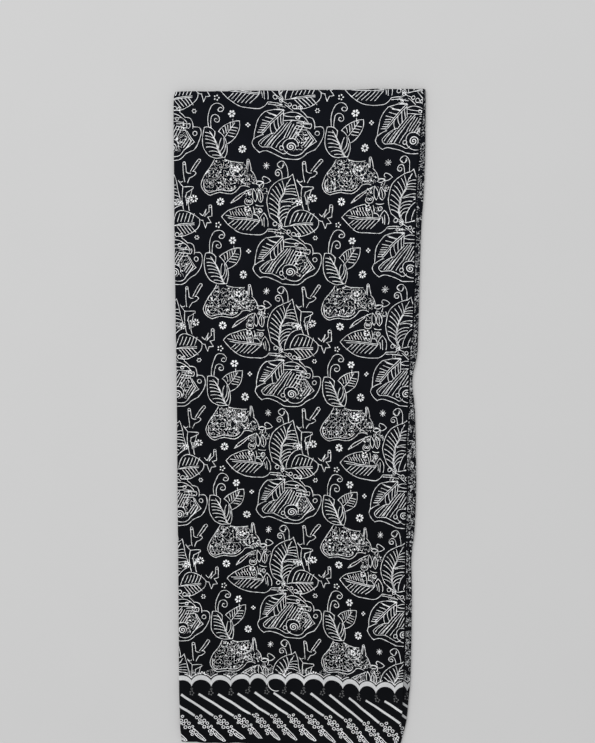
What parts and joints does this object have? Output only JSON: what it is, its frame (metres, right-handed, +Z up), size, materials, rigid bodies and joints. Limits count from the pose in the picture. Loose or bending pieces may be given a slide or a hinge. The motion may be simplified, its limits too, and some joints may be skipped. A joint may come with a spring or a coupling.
{
  "type": "folded batik sarong",
  "caption": "Printed batik sarong folded lengthwise into a flat layered strip, lying flat on its back fold.",
  "frame": {"origin": "middle of the underside, on the surface that the folded cloth lies on", "axes": "+Y along the strip to its far end, +X to the side where the lower folds peek out, +Z up from the surface"},
  "size_m": [0.3894, 1.05, 0.0097],
  "materials": {
    "printed_cloth_top": "matt cotton, near-black with pale grey line print",
    "printed_cloth_under": "matt cotton, near-black with pale grey line print",
    "printed_cloth_inner": "matt cotton, near-black with pale grey line print"
  },
  "bodies": {
    "root": {"top_fold": "printed_cloth_top", "under_fold": "printed_cloth_under", "inner_layers": "printed_cloth_inner"}
  },
  "joints": []
}
